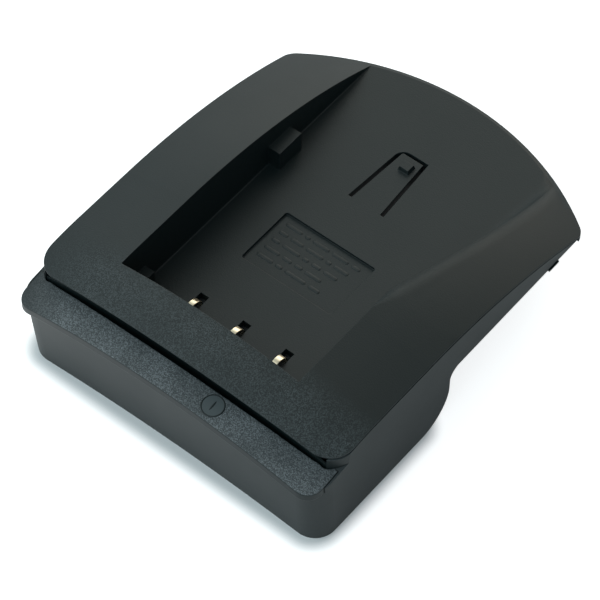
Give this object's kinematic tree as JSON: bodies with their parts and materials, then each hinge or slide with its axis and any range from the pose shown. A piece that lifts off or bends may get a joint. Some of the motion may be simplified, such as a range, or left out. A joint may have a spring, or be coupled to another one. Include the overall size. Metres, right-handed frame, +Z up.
{
  "type": "camera battery charger cradle",
  "caption": "Domed charging cradle for a camera battery: sunk bay with leaf contacts, guide blocks and a latch tongue on a shallow box with a thin rear overhang.",
  "frame": {"origin": "middle of the outline's bounding box on the table", "axes": "+Z up from the foot, +Y from the front strip to the overhang's rounded back edge, +X to the right seen from the front"},
  "size_m": [0.062, 0.0808, 0.024],
  "materials": {
    "case_plate": "matte",
    "case_housing": "matte",
    "case_strip": "matte",
    "contact_gold": "polished",
    "carrier_nylon": "matte",
    "board_laminate": "gloss",
    "epoxy_black": "matte",
    "can_aluminium": "satin",
    "ferrite": "matte",
    "enamelled_wire": "satin",
    "chip_ceramic": "matte",
    "screw_steel": "satin"
  },
  "bodies": {
    "root": {"upper_plate": "case_plate", "lower_housing": "case_housing", "front_strip": "case_strip", "contact_spring_left": "contact_gold", "contact_spring_centre": "contact_gold", "contact_spring_right": "contact_gold", "contact_carrier": "carrier_nylon", "dock_block": "carrier_nylon", "dock_blades": "contact_gold", "circuit_board": "board_laminate", "control_chip": "epoxy_black", "power_transistor": "epoxy_black", "rectifier_diode": "epoxy_black", "filter_capacitor": "can_aluminium", "choke_core": "ferrite", "choke_winding": "enamelled_wire", "sense_resistor": "chip_ceramic", "chip_parts": "chip_ceramic", "case_screws": "screw_steel", "board_screws": "screw_steel"}
  },
  "joints": []
}
